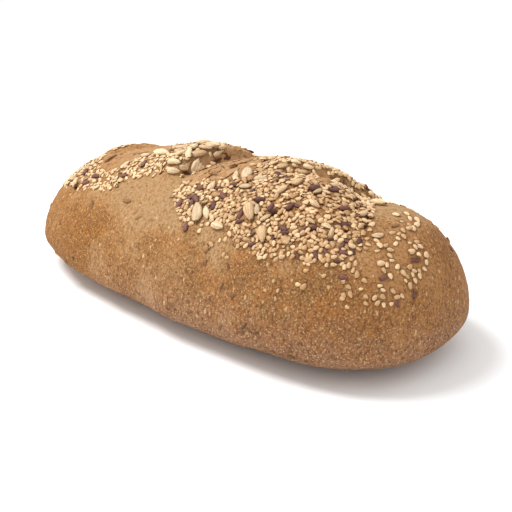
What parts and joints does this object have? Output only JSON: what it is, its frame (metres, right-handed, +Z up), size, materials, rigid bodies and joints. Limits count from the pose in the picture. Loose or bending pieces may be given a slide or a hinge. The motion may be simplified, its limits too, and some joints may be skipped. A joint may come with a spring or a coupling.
{
  "type": "grain bread",
  "caption": "Long rounded wholegrain loaf with a flat underside, slanting slashes with raised ears across the top, and a thick bed of mixed kernels and seeds on the crust.",
  "frame": {"origin": "middle of the flat underside, at the level of the surface that the loaf stands on", "axes": "+X along the loaf towards its taller end, +Z up, +Y to the side away from the picture's camera"},
  "size_m": [0.28, 0.137, 0.0857],
  "materials": {
    "crust": "baked wholegrain crust, matte, mottled brown, floury on top",
    "sesame": "toasted sesame, cream to golden, dull satin",
    "kernel": "toasted hulled sunflower and pumpkin kernels, pale tan to grey green, dull satin",
    "linseed": "linseed, purple brown, glossy"
  },
  "bodies": {
    "root": {"loaf": "crust"}
  },
  "joints": []
}
